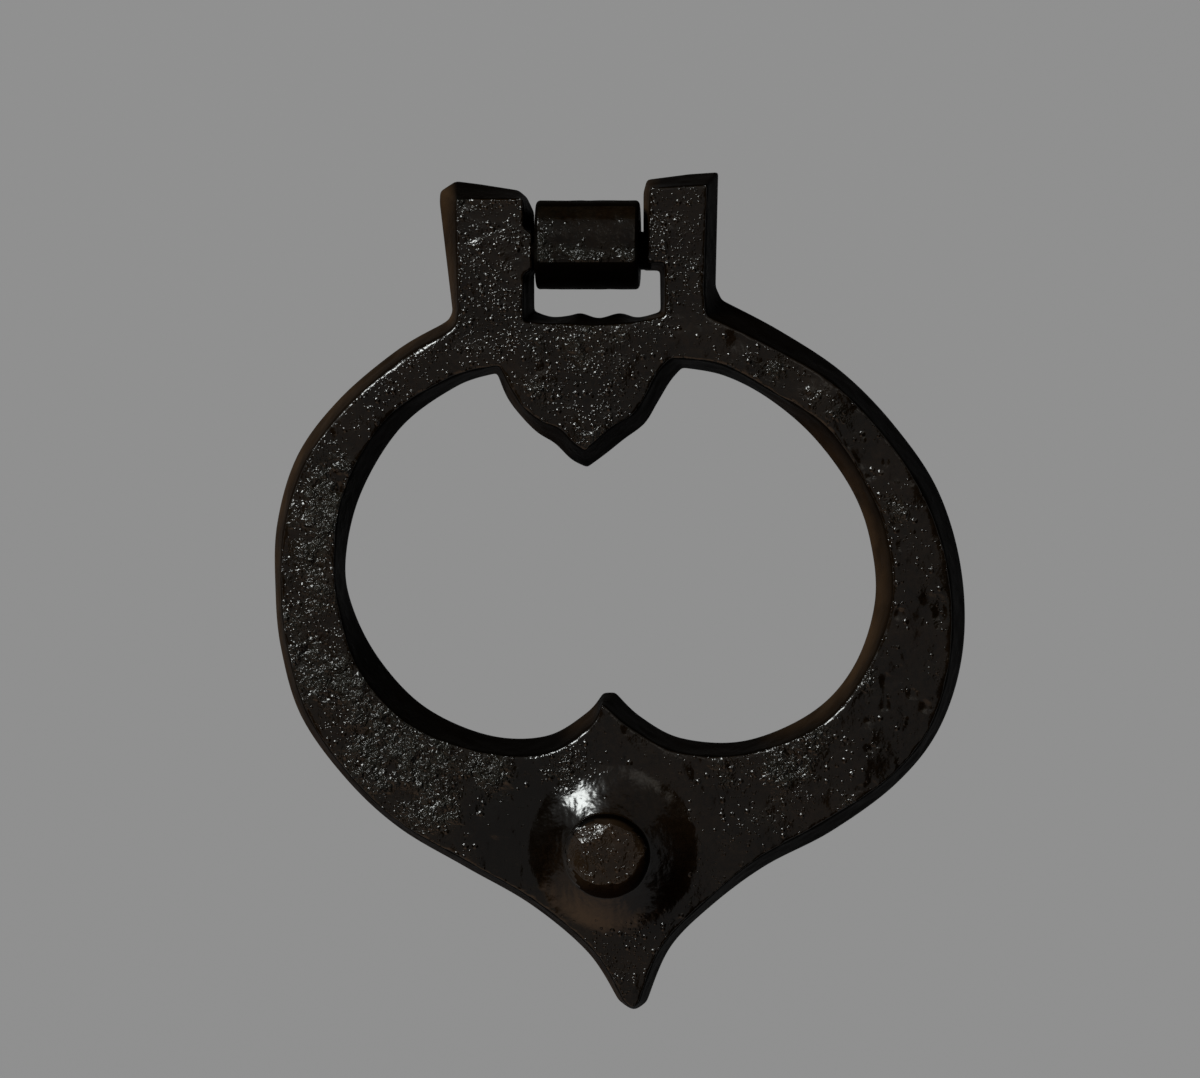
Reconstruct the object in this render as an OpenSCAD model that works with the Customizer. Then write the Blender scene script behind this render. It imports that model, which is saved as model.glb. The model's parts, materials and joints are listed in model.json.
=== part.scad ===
// A cast ring pull hung on a rolled eye. The origin is on the shank's axis, in the plane of the door's
// face. X is to the right, Y goes into the door and Z is up. The ring hangs in front of the door, at
// negative Y.

/* [Ring] */
// Width across the ring
ring_w = 113; // [100:1:125]
// Thickness of the ring, its ears and its shield
plate_t = 7; // [6:0.25:8]
// Share of the cast draft that the side walls have
draft_share = 1; // [0.6:0.1:1.1]
// Diameter of the round bar that turns in the eye
bar_d = 6.2; // [5.4:0.1:6.6]

/* [Boss] */
// Diameter of the round swelling over the point
boss_d = 28.4; // [24:0.2:30]
// Height of the swelling above the ring's face
boss_h = 4.6; // [3.4:0.2:6]
// Diameter of the hammered knob at its root
knob_d = 14; // [10:0.5:15]
// Height of the knob above the swelling
knob_h = 3.2; // [2:0.2:4]

/* [Eye] */
// Outside diameter of the rolled strap
eye_d = 14.5; // [14:0.1:14.8]
// Thickness of the strap
strap_t = 3.1; // [2.8:0.1:3.2]
// Side gap between the eye and each ear
side_gap = 0.35; // [0.3:0.05:0.6]
// Distance from the door's face to the eye's centre
stand_off = 15; // [14.8:0.2:18]

/* [Shank] */
// Diameter of the collar that seats on the door
collar_d = 14; // [12:0.5:16]
// Thickness of the collar
collar_t = 3; // [2:0.5:3.5]
// Diameter of the shank
shank_d = 8; // [6:0.5:8]
// Length of the shank from the door's face to its rounded end
shank_l = 45; // [30:1:60]

/* [Hidden] */
$fn = 96;
cast_black = [0.10, 0.095, 0.09];
eye_black = [0.14, 0.13, 0.12];

// Scale of the outlines, which are drawn for a ring 113 wide
drawn_w = 113;
k = ring_w / drawn_w;
// Steps along each span of a curved outline
steps = 5;
// The plate's back edge, the start of its worn front edge and its face, as shares of thickness and lean
wall = [[0, 0], [0.93, 0.78], [1, 1]];
// The same line carried past both faces, for a tool that cuts through
cut = [[-0.15, -0.126], [0.93, 0.78], [1.12, 1.377]];
// Middle points, from which every point of the outline can be seen
ring_middle = [4, -50] * k;
hole_middle = [-2, -52] * k;
notch_middle = [0, 8] * k;
slot_middle = [1.5, -8] * k;

back_y = -stand_off + plate_t / 2;
face_y = back_y - plate_t;
bore_r = eye_d / 2 - strap_t;
// The bar hangs this far below the eye's centre, a tenth clear of the bore
sag = bore_r - bar_d / 2 - 0.1;
// The bar is free over this half width, and runs this far into the stub on each side
ear_gap = 8.75 * k;
bar_root = 0.8;
eye_half = ear_gap - side_gap;
boss_x = 4.2 * k;
boss_z = -98 * k;
// The knob stands this far off the boss's middle, across and up
knob_off = [-0.8, -0.8];
// The swelling starts this far below the ring's face
sunk = 0.6;
// The eye's neck behind the roll, the open seam of the roll and its worn edges
neck_w = 13.2;
neck_h = 6.6;
seam_angle = 38;
seam_w = 0.4;
worn_edge = 0.7;

// Outlines run counter-clockwise. Each point holds its place on the back edge, across and up,
// and the step from there to the face edge, because the cast walls lean by hand-made amounts.
ear_right = [[21.7, -8.9, -2.4, -2.6], [20.7, -6.8, -1.7, -0.8], [21.1, 11.9, -1.6, -2.3]];
ear_right_top = [[21.1, 11.9, -1.6, -2.3], [16.4, 11.6, -0.4, -2.2], [9.9, 10.7, 0.4, -1.6]];
ear_left_top = [[-9, 8.6, 0, -1.3], [-11.5, 9, 0, -1.6], [-17.8, 10, 0, -2.6], [-21.8, 10.5, 0.7, -3.2]];
ear_left = [[-24.4, 8.8, 3.2, -1.8], [-24.5, 7, 3.3, -1], [-22.4, -10.8, 1.5, -0.1],
    [-23, -12.1, 1.8, -0.9]];
ring_left = [[-24.1, -12.8, 1.2, -1.6], [-31.4, -17, 1.2, -1.7], [-40.9, -25, 1.6, -1.5],
    [-47.9, -34.3, 2, -1.2], [-51.3, -45.6, 2, -0.4], [-51.6, -56.4, 1.8, 0.1], [-50.7, -66.1, 1.9, 0.5],
    [-47.4, -77.2, 1.8, 0.9], [-40, -87.5, 1.3, 1.2], [-31.3, -95.5, 1, 1.4], [-20.4, -101.9, 1, 1.6],
    [-9.5, -108.1, 1, 1.5], [-0.2, -115.9, 1.3, 1.2], [4.8, -123.7, 1.3, 0.6]];
point = [[4.8, -123.7, 1.3, 0.6], [7.3, -125.2, 0.1, 1.3], [9.5, -123.9, -1.1, 0.6]];
ring_right = [[9.5, -123.9, -1.1, 0.6], [13.3, -115, -1.3, 0.8], [20, -108.1, -1, 1.3],
    [28.8, -101.5, -1.2, 1.9], [39.7, -95.7, -1.3, 2.2], [50.3, -87.8, -1.3, 1.5], [57.3, -78.7, -1.6, 0.8],
    [61, -66.5, -2.1, 0.3], [60.8, -53, -2.2, -0.3], [57, -40, -2.2, -1.1], [49.9, -29.4, -1.8, -1.5],
    [41.3, -20.6, -1.5, -1.8], [31.2, -13.9, -1.5, -2.6], [21.7, -8.9, -2.4, -2.6]];

// The hand hole, from its cusp up the right side, round the shield and down the left side
hole_right = [[4.3, -73, -1.3, -1.9], [8.5, -77, -1.3, -1.4], [15.3, -80.5, -0.5, -1.8],
    [25.7, -80.8, 0.3, -1.7], [36.6, -76, 1.3, -1.8], [43.3, -68.4, 1.7, -1.1], [46.6, -58, 2.7, -0.3],
    [45.8, -48.1, 2.8, 0.7], [42.7, -39.7, 2.3, 1.3], [36.5, -31.2, 2.1, 1.9], [29.2, -25, 0.6, 1.4],
    [22, -21.3, -0.3, 2], [15.2, -20, -1.4, 1.7]];
shield_right = [[15.2, -20, -1.4, 1.7], [13.3, -22.2, -1.8, 1.6], [11.2, -25.7, -1.8, 1.1],
    [9.1, -29.1, -1.7, 1.6], [5.7, -31.7, -1.4, 2.4], [2.7, -34.1, -1.3, 2.4], [-0.3, -36.3, 0, 3]];
shield_left = [[-0.3, -36.3, 0, 3], [-2.9, -35, 0.8, 2.9], [-5.6, -32.4, 1.1, 2.7], [-8.5, -30.6, 1.2, 2],
    [-11.2, -27.9, 1.2, 1.3], [-13.5, -24.8, 1.4, 1.2], [-15.1, -20.9, 0.9, 1.4]];
hole_left = [[-15.1, -20.9, 0.9, 1.4], [-21.7, -23.1, -0.5, 1.5], [-30.8, -29.8, -1.8, 1.5],
    [-37.4, -40.6, -2.1, 0.7], [-39.9, -51.5, -1.2, 0.1], [-38.7, -59.4, -1.5, -0.4],
    [-34.2, -68, -2.7, -1.5], [-26.8, -75.6, -2.1, -2.4], [-16.5, -80.1, -0.7, -2.3],
    [-7.1, -80.2, 0.4, -2.4], [-0.5, -76.4, 1, -1.8], [2.3, -73.1, 0.1, -1.4]];

// The notch above the bar, and the slot below it with its hand-filed floor
notch = [[-8.9, 1.9, -1.4, -1.1], [8.8, 1.9, 1.4, -1.1], [8.8, 9, 1.4, 0], [9.4, 11.5, 1, 0],
    [9.5, 16, 1, 0], [-13, 16, -0.3, 0], [-11.7, 9.3, -0.3, -0.3], [-10.1, 7.8, -0.3, -0.3],
    [-8.9, 5.3, -1.4, 0]];
slot_floor = [[-8.9, -10.7, -1.5, -1.8], [-6.1, -11.6, 0, -1.2], [-3.3, -11.4, 0, -1.4],
    [-1.3, -11, 0, -1.9], [1.6, -11.8, 0, -1.2], [5, -11, 0, -1.8], [8, -11.7, 0, -0.8],
    [11.6, -10.8, 1.1, -0.8]];
slot_top = [[11.6, -10.8, 1.1, -0.8], [11.5, -4.2, 1.2, 1.4], [-8.9, -4.2, -1.4, 1.4]];

// Points along a smooth open curve through the given ones, without the last
function spline(p) = [for (i = [0:len(p) - 2], j = [0:steps - 1])
    let (t = j / steps, a = p[max(i - 1, 0)], b = p[i], c = p[i + 1], d = p[min(i + 2, len(p) - 1)])
    b + t / 2 * ((c - a) + t * ((2 * a - 5 * b + 4 * c - d) + t * (3 * b - a - 3 * c + d)))];
// The points of a run of straight edges, without the last
function straight(p) = [for (i = [0:len(p) - 2]) p[i]];
// An outline's places across and up, once it has gone a share of the way from back edge to face edge
function leaned(loop, share) = [for (q = loop) k * ([q[0], q[1]] + share * draft_share * [q[2], q[3]])];

outer_loop = concat(straight(ear_right), ear_right_top, ear_left_top, ear_left, spline(ring_left),
    spline(point), spline(ring_right));
hole_loop = concat(spline(hole_right), spline(shield_right), spline(shield_left), spline(hole_left),
    [hole_left[len(hole_left) - 1]]);
slot_loop = concat(spline(slot_floor), slot_top);

// A closed solid through rings of equally many points, its two ends fanned about a middle point
module skin(rings, first_end, last_end) {
    n = len(rings[0]);
    last = len(rings) - 1;
    walls = [for (l = [0:last - 1], i = [0:n - 1])
        let (j = (i + 1) % n) [l * n + i, (l + 1) * n + i, (l + 1) * n + j, l * n + j]];
    first_fan = [for (i = [0:n - 1]) [(last + 1) * n, i, (i + 1) % n]];
    last_fan = [for (i = [0:n - 1]) [(last + 1) * n + 1, last * n + (i + 1) % n, last * n + i]];
    polyhedron(points = concat([for (r = rings) each r], [first_end, last_end]),
        faces = concat(walls, first_fan, last_fan));
}

// A plate with leaning walls: each height is a share of the thickness and a share of the lean
module leaning_plate(loop, heights, middle) {
    function depth(h) = back_y - h[0] * plate_t;
    rings = [for (h = heights) [for (q = leaned(loop, h[1])) [q.x, depth(h), q.y]]];
    ends = [for (h = [heights[0], heights[len(heights) - 1]]) [middle.x, depth(h), middle.y]];
    skin(rings, ends[0], ends[1]);
}

// The swelling: nearly a cone, a little steeper under the knob than at its rim
module swelling() {
    rim_r = boss_d / 2;
    crown_r = knob_d / 2 - 1;
    flank = [for (i = [0:12])
        let (u = i / 12) [rim_r + (crown_r - rim_r) * u, boss_h * (0.75 * u + 0.25 * (1 - cos(90 * u)))]];
    rotate_extrude()
        polygon(concat([[0, -sunk], [rim_r, -sunk]], flank, [[0, boss_h]]));
}

// The knob: a round root hammered up to a smaller, off-centre oval face
module knob() {
    sides = 40;
    // Each level: height, then its widths across and up as shares of the root, then its step across and up
    levels = [[-0.6 * boss_h, 1, 1, 0, 0], [0.1 * knob_h, 1, 1, 0, 0], [0.6 * knob_h, 0.98, 0.84, 0, 0.6],
        [0.9 * knob_h, 0.96, 0.7, 0, 1], [knob_h, 0.88, 0.6, 0, 1.1]];
    root_r = knob_d / 2;
    rings = [for (v = levels) [for (i = [0:sides - 1])
        let (a = 360 * i / sides) [v[3] + root_r * v[1] * cos(a), v[4] + root_r * v[2] * sin(a), v[0]]]];
    top = levels[len(levels) - 1];
    rotate([0, 0, 6])
        skin(rings, [0, 0, levels[0][0]], [top[3], top[4], top[0]]);
}

// Ring, ears, shield, cusp, boss and bar, cast in one piece
module ring_pull() {
    color(cast_black) {
        difference() {
            leaning_plate(outer_loop, wall, ring_middle);
            leaning_plate(hole_loop, cut, hole_middle);
            leaning_plate(notch, cut, notch_middle);
            leaning_plate(slot_loop, cut, slot_middle);
            translate([-ear_gap, face_y - 1, -5 * k])
                cube([2 * ear_gap, plate_t + 2, 8 * k]);
        }
        translate([-ear_gap - bar_root, -stand_off, -sag])
            rotate([0, 90, 0])
                cylinder(r = bar_d / 2, h = 2 * (ear_gap + bar_root));
        translate([boss_x, face_y, boss_z])
            rotate([90, 0, 0])
                swelling();
        translate([boss_x + knob_off.x, face_y - boss_h, boss_z + knob_off.y])
            rotate([90, 0, 0])
                knob();
    }
}

// Strap rolled round the bar and drawn down to a neck, a collar and a round shank
module rolled_eye() {
    eye_r = eye_d / 2;
    barrel = [[0, 0], [eye_r - worn_edge, 0], [eye_r, worn_edge], [eye_r, 2 * eye_half - worn_edge],
        [eye_r - worn_edge, 2 * eye_half], [0, 2 * eye_half]];
    neck = [[-neck_w / 2, bore_r + 0.8 - stand_off], [neck_w / 2, bore_r + 0.8 - stand_off],
        [collar_d / 2 - 3, 0.5 - collar_t], [3 - collar_d / 2, 0.5 - collar_t]];
    turned = [[0, -collar_t], [collar_d / 2 - worn_edge, -collar_t], [collar_d / 2, worn_edge - collar_t],
        [collar_d / 2, 0], [shank_d / 2, 0], [shank_d / 2, shank_l - 1], [shank_d / 2 - 1, shank_l],
        [0, shank_l]];
    color(eye_black)
        difference() {
            union() {
                translate([-eye_half, -stand_off, 0])
                    rotate([0, 90, 0])
                        rotate_extrude()
                            polygon(barrel);
                translate([0, 0, -neck_h / 2])
                    linear_extrude(height = neck_h)
                        polygon(neck);
                rotate([-90, 0, 0])
                    rotate_extrude()
                        polygon(turned);
            }
            translate([-eye_half - 1, -stand_off, 0])
                rotate([0, 90, 0])
                    cylinder(r = bore_r, h = 2 * eye_half + 2);
            translate([-eye_half - 1, -stand_off, 0])
                rotate([-seam_angle, 0, 0])
                    translate([0, bore_r - 0.5, -seam_w / 2])
                        cube([2 * eye_half + 2, strap_t + 2, seam_w]);
        }
}

ring_pull();
rolled_eye();
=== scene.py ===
"""A cast ring pull for a door, hung on a rolled eye, with its finish and its stage.

Every piece is worked out from outlines and profiles. Lengths are in metres, and the frame is the handle's
own: the origin is on the shank's axis in the plane of the door's face, X is to the right, Y goes into the
door and Z is up.
"""
import json

import bpy
import numpy as np
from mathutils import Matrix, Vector
from mathutils.geometry import delaunay_2d_cdt


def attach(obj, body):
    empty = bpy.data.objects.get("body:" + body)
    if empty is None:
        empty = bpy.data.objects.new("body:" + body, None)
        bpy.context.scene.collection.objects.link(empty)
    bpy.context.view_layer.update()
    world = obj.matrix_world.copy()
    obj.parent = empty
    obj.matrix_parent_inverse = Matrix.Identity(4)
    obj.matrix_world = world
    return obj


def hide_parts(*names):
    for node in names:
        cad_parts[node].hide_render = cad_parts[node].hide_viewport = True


bl_info = {
    "name": "Ring pull door handle",
    "version": (1, 0, 0),
    "blender": (4, 5, 0),
    "location": "View3D > Sidebar > Handle",
    "description": "Makes a cast ring pull and its rolled eye, with their black lacquer and a plain stage",
    "category": "Object",
}

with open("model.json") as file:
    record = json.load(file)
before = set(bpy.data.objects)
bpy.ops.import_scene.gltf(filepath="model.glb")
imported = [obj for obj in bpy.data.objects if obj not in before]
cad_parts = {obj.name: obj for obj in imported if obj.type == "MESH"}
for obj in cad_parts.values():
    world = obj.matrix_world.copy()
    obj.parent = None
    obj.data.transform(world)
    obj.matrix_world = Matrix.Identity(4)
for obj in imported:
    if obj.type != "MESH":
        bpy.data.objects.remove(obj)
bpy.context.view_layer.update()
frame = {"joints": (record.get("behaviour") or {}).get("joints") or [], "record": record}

MM = 0.001
RING_NODE = "ring_pull"
EYE_NODE = "rolled_eye"
BODIES = {node: body for body, nodes in frame["record"]["behaviour"]["bodies"].items() for node in nodes}
SWING = frame["joints"][0]
SHANK = frame["record"]["mounts"][0]

# Outlines in millimetres, counter-clockwise from in front. Each point holds its place on the back edge,
# across and up, and the step from there to the face edge, because the cast walls lean by hand-made
# amounts.
EAR_RIGHT = [
    [21.7, -8.9, -2.4, -2.6], [20.7, -6.8, -1.7, -0.8], [21.1, 11.9, -1.6, -2.3],
    [16.4, 11.6, -0.4, -2.2], [9.4, 10.7, 0.9, -1.6]]
STUB_RIGHT = [
    [8.8, 8.6, 1.4, -0.3], [8.8, 1.9, 1.2, -1.1], [8.75, -4.2, 1.05, 1.4], [11.5, -4.2, 1.2, 1.4]]
SLOT_FLOOR = [
    [11.6, -10.8, 1.1, -0.8], [8, -11.7, 0, -0.8], [5, -11, 0, -1.8], [1.6, -11.8, 0, -1.2],
    [-1.3, -11, 0, -1.9], [-3.3, -11.4, 0, -1.4], [-6.1, -11.6, 0, -1.2], [-8.9, -10.7, -1.5, -1.8]]
STUB_LEFT = [
    [-8.9, -10.7, -1.5, -1.8], [-8.9, -4.4, -1.4, 0.2], [-8.75, -4.4, 0, 0.2], [-8.75, 2.1, 0, 0],
    [-8.9, 2.1, -1.4, 0], [-8.9, 5.3, -1.4, 0], [-10.1, 7.8, -0.3, -0.3], [-11.5, 9, 0, -1.6]]
EAR_LEFT = [
    [-17.8, 10, 0, -2.6], [-21.8, 10.5, 0.7, -3.2], [-24.4, 8.8, 3.2, -1.8], [-24.5, 7, 3.3, -1],
    [-22.4, -10.8, 1.5, -0.1], [-23, -12.1, 1.8, -0.9]]
RING_LEFT = [
    [-24.1, -12.8, 1.2, -1.6], [-31.4, -17, 1.2, -1.7], [-40.9, -25, 1.6, -1.5], [-47.9, -34.3, 2, -1.2],
    [-51.3, -45.6, 2, -0.4], [-51.6, -56.4, 1.8, 0.1], [-50.7, -66.1, 1.9, 0.5],
    [-47.4, -77.2, 1.8, 0.9], [-40, -87.5, 1.3, 1.2], [-31.3, -95.5, 1, 1.4], [-20.4, -101.9, 1, 1.6],
    [-9.5, -108.1, 1, 1.5], [-0.2, -115.9, 1.3, 1.2], [4.8, -123.7, 1.3, 0.6]]
POINT = [[4.8, -123.7, 1.3, 0.6], [7.3, -125.2, 0.1, 1.3], [9.5, -123.9, -1.1, 0.6]]
RING_RIGHT = [
    [9.5, -123.9, -1.1, 0.6], [13.3, -115, -1.3, 0.8], [20, -108.1, -1, 1.3], [28.8, -101.5, -1.2, 1.9],
    [39.7, -95.7, -1.3, 2.2], [50.3, -87.8, -1.3, 1.5], [57.3, -78.7, -1.6, 0.8], [61, -66.5, -2.1, 0.3],
    [60.8, -53, -2.2, -0.3], [57, -40, -2.2, -1.1], [49.9, -29.4, -1.8, -1.5], [41.3, -20.6, -1.5, -1.8],
    [31.2, -13.9, -1.5, -2.6], [21.7, -8.9, -2.4, -2.6]]
HOLE_RIGHT = [
    [4.3, -73, -1.3, -1.9], [8.5, -77, -1.3, -1.4], [15.3, -80.5, -0.5, -1.8], [25.7, -80.8, 0.3, -1.7],
    [36.6, -76, 1.3, -1.8], [43.3, -68.4, 1.7, -1.1], [46.6, -58, 2.7, -0.3], [45.8, -48.1, 2.8, 0.7],
    [42.7, -39.7, 2.3, 1.3], [36.5, -31.2, 2.1, 1.9], [29.2, -25, 0.6, 1.4], [22, -21.3, -0.3, 2],
    [15.2, -20, -1.4, 1.7]]
SHIELD_RIGHT = [
    [15.2, -20, -1.4, 1.7], [13.3, -22.2, -1.8, 1.6], [11.2, -25.7, -1.8, 1.1], [9.1, -29.1, -1.7, 1.6],
    [5.7, -31.7, -1.4, 2.4], [2.7, -34.1, -1.3, 2.4], [-0.3, -36.3, 0, 3]]
SHIELD_LEFT = [
    [-0.3, -36.3, 0, 3], [-2.9, -35, 0.8, 2.9], [-5.6, -32.4, 1.1, 2.7], [-8.5, -30.6, 1.2, 2],
    [-11.2, -27.9, 1.2, 1.3], [-13.5, -24.8, 1.4, 1.2], [-15.1, -20.9, 0.9, 1.4]]
HOLE_LEFT = [
    [-15.1, -20.9, 0.9, 1.4], [-21.7, -23.1, -0.5, 1.5], [-30.8, -29.8, -1.8, 1.5],
    [-37.4, -40.6, -2.1, 0.7], [-39.9, -51.5, -1.2, 0.1], [-38.7, -59.4, -1.5, -0.4],
    [-34.2, -68, -2.7, -1.5], [-26.8, -75.6, -2.1, -2.4], [-16.5, -80.1, -0.7, -2.3],
    [-7.1, -80.2, 0.4, -2.4], [-0.5, -76.4, 1, -1.8], [2.3, -73.1, 0.1, -1.4]]

# Gouges in the left ear's face: two ends across and up, half width and depth, in millimetres
GOUGES = [
    [-20.6, 0, -13.8, 2.8, 0.5, 0.32], [-18.2, -1.6, -15.4, 0.1, 0.45, 0.22],
    [-21.4, 6.9, -18.8, 6.6, 0.5, 0.3], [-13.4, -3.2, -11.2, -1.7, 0.4, 0.18]]
# Places where the lacquer is crinkled like foil: across, up and reach in millimetres, and how much
CRINKLES = [
    [-41, -38.5, 3, 1.3], [-43, -41, 2.5, 1.2], [-40, -36.5, 1.5, 0.8], [-46.5, -44.5, 2.5, 1],
    [-42.5, -45, 2, 1.2], [-45, -49.5, 2, 1.3], [-43.5, -48, 1.5, 0.7], [-44.5, -53, 1.5, 0.9],
    [-43, -57, 2, 1], [-49, -61, 2, 1.1], [-49.5, -53.5, 1.5, 0.6], [-46.5, -66, 2.5, 0.8],
    [-44.5, -72, 2.5, 0.8], [-40.5, -70, 3, 0.9], [-37.5, -73, 3, 1.1], [-34, -77.5, 3.5, 1.3],
    [-32, -82, 3.5, 1.6], [-36.5, -84, 3, 1], [-33.5, -87.5, 2, 1], [-24.5, -83, 3, 1.2],
    [-27.5, -86.5, 2.5, 0.9], [-23.5, -91.5, 3, 1.3], [-28, -92.5, 2, 0.8], [-15.5, -85.5, 2.5, 1.2],
    [-19, -85, 1.5, 1], [-9, -82.5, 2, 0.4], [32, -85.5, 2.5, 1.5], [34.5, -83, 2.5, 1.2],
    [37, -79.5, 2, 0.8], [30, -91.5, 2, 0.4], [22.5, -85.5, 2, 0.5], [45, -70, 2, 0.6],
    [43, -91, 1.5, 0.4], [30, -20.5, 1.5, 0.6], [36.5, -24, 1.5, 0.5], [40, -28, 2, 0.4],
    [50, -43, 2, 0.4], [-1, -17, 2, 0.9], [5, -14.5, 1.5, 0.8], [0.5, -13.5, 1.5, 0.6],
    [-8, -16.5, 1.5, 0.5], [-8, -23, 2, 0.5], [1.5, -30.5, 2, 0.6], [-21, 7.5, 1.5, 1],
    [-3, -86, 2.5, 0.6]]
# Places where the lacquer holds fine grains, in the same form
GRAINS = [
    [-17, 2, 10, 0.95], [-17, -10, 8, 0.75], [13.5, 2, 7, 0.75], [13, -8, 5, 0.7], [0, -18, 10, 0.8],
    [-1, -28, 7, 0.7], [-31, -20, 9, 0.5], [30, -20, 8, 0.4], [-45, -42, 9, 0.6], [-46, -60, 12, 0.65],
    [-33, -84, 14, 0.85], [-18, -87, 7, 0.45], [31, -85, 11, 0.5], [52, -50, 16, 0.15],
    [6, -117, 7, 0.5], [1, -98, 5, 0.5], [-2.5, -85.5, 4, 0.9], [1.5, -87, 2, 0.8],
    [-5.5, -89.5, 2.5, 0.8]]
# Places where the ring's edges are worn rounder or flaked: across, up, reach and extra wear, in
# millimetres
FLAKES = [
    [55, -39, 3.2, 1.1], [44.4, -66.5, 3.5, 0.9], [-10, -82.5, 7, 0.45], [-46, -36, 6, 0.3],
    [-31, -17, 11, 0.75], [36, -78, 9, 0.5], [-3, -79, 3.5, 0.35], [-36, -72, 7, 0.3], [30, -24, 9, 0.2],
    [52, -58, 9, 0.2]]
# Rows of points on a wall's slope. Two more go round its back edge and four round its face edge.
SLOPE_ROWS = 10
# The knob's hammered face: corners across and up from its middle, in millimetres
KNOB_FACE = [
    [6.6, 0.7], [5.6, 2.2], [3, 3.4], [-0.3, 4.1], [-3, 4], [-5.8, 2.5], [-6.4, 0.6], [-6, -1.4],
    [-4.9, -3.2], [-2.8, -4.6], [-0.2, -5], [2.6, -4.6], [4.3, -3.3], [5.3, -1.2]]
# How far the knob stands off the swelling's middle, across and up, in millimetres
KNOB_OFF = [-0.8, -0.8]
# Slanting facets of the knob's face: their direction across and up, where they start from the face's
# middle in millimetres, and how steeply they fall
KNOB_FACETS = [[-1, -0.2, 3.3, 0.75], [-0.57, 0.82, 2.6, 0.45], [0.95, 0.3, 4.9, 0.4]]
# Outside radius of the rolled strap by direction: degrees up from straight in front, and millimetres
ROLL = [
    [-180, 7.2], [-120, 7.2], [-88, 7.25], [-66, 6.98], [-44, 6.95], [-30, 7.15], [-24, 7.22],
    [-19, 7.02], [-12, 6.42], [-8, 6.34], [0, 6.35], [17, 6.48], [34, 6.86], [50, 6.96], [66, 7.2],
    [90, 7.25], [135, 7.22], [180, 7.2]]


def number(name, description, default, **more):
    """A number that a user may change."""
    return bpy.props.FloatProperty(name=name, description=description, default=default, **more)


def length(name, description, default):
    return number(name, description, default, unit="LENGTH")


def degrees(name, description, default):
    return number(name, description, float(np.radians(default)), unit="ROTATION")


def paint(name, description, default):
    """A colour that a user may change."""
    return bpy.props.FloatVectorProperty(name=name, description=description, default=default, size=3,
                                         subtype="COLOR", min=0, max=1)


class RingSizes(bpy.types.PropertyGroup):
    thickness: length("Thickness", "Thickness of the ring, its ears and its shield", 7 * MM)
    edge: length("Edge wear", "Radius that the face's edges are worn to", 0.5 * MM)
    boss_x: length("Boss across", "Place of the swelling across the ring", 4.2 * MM)
    boss_z: length("Boss height", "Place of the swelling below the eye", -98 * MM)
    boss_r: length("Boss radius", "Radius of the swelling at its foot", 14.2 * MM)
    boss_h: length("Boss rise", "Height of the swelling above the face", 4.4 * MM)
    knob_r: length("Knob radius", "Radius of the hammered knob at its root", 7 * MM)
    knob_h: length("Knob rise", "Height of the knob above the swelling", 3.2 * MM)
    bar_r: length("Bar radius", "Radius of the bar in the eye", 3.1 * MM)
    lumps: length("Lumps", "Height of the lumps in the cast face", 1 * MM)
    facet: length("Mesh step", "Distance between the mesh's points on the face", 0.38 * MM)


class EyeSizes(bpy.types.PropertyGroup):
    half_width: length("Half width", "Half the length of the rolled strap", 8.4 * MM)
    bore_r: length("Bore radius", "Radius inside the rolled strap", 4.15 * MM)
    edge: length("Edge wear", "Radius that the strap's edges are worn to", 0.7 * MM)
    collar_r: length("Collar radius", "Radius of the collar that seats on the door", 7 * MM)
    collar_t: length("Collar thickness", "Thickness of the collar", 3 * MM)


class Finish(bpy.types.PropertyGroup):
    black: paint("Lacquer", "Colour of the black lacquer", (0.0016, 0.0008, 0.0002))
    # Its brown serves the stains and the painted warm reflection and sheen
    brown: paint("Stains and painted reflection", "Brown of the stains and of the painted warm reflection and sheen",
                 (0.028, 0.0155, 0.0075))
    gloss: number("Roughness", "Roughness of the lacquer where it is smoothest", 0.14, min=0, max=1)
    # A grey painted sheen where the lacquer is crinkled
    skin: paint("Painted sheen", "Grey of the painted sheen where the lacquer is crinkled",
                (0.032, 0.034, 0.028))
    folds: length("Fold height", "Height of the folds where the lacquer is crinkled", 1.0 * MM)


class Stage(bpy.types.PropertyGroup):
    room: paint("Floor and wall", "Colour of the plain floor and the wall that it curves into",
                (0.35, 0.35, 0.35))
    tone: paint("Backdrop tone", "Plain grey that the camera sees behind the handle", (0.34, 0.34, 0.34))
    sky: number("Soft light", "Strength of the even light all round", 0.2, min=0)
    key: number("Key lamp", "Power of the lamp from the upper left", 22.0, min=0)
    fill: number("Warm lamp", "Power of the weak warm lamp from below", 1.3, min=0)
    distance: length("Camera distance", "Distance from the camera to the ring", 0.85)
    across: degrees("Camera azimuth", "Turn of the camera to the right of straight in front", 3)
    above: degrees("Camera elevation", "Turn of the camera above the level", 2.5)


def spline(points, steps=12):
    """Catmull-Rom curve: on each span a cubic through the span's two ends, whose slope at a point is half
    the step from the point before to the point after. Returns every span's points without the last one of
    all."""
    p = np.array([points[0], *points, points[-1]], float)
    a, b, c, d = p[:-3, None], p[1:-2, None], p[2:-1, None], p[3:, None]
    t = np.linspace(0, 1, steps, endpoint=False)[None, :, None]
    curve = b + t / 2 * ((c - a) + t * ((2 * a - 5 * b + 4 * c - d) + t * (3 * b - a - 3 * c + d)))
    return curve.reshape(-1, p.shape[1])


def even(loop, step):
    """The closed loop, sampled again at even distances along its back edge."""
    closed = np.vstack([loop, loop[:1]])
    run = np.concatenate([[0], np.cumsum(np.hypot(*np.diff(closed[:, :2], axis=0).T))])
    at = np.linspace(0, run[-1], int(run[-1] / step), endpoint=False)
    return np.stack([np.interp(at, run, column) for column in closed.T], axis=1)


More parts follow.
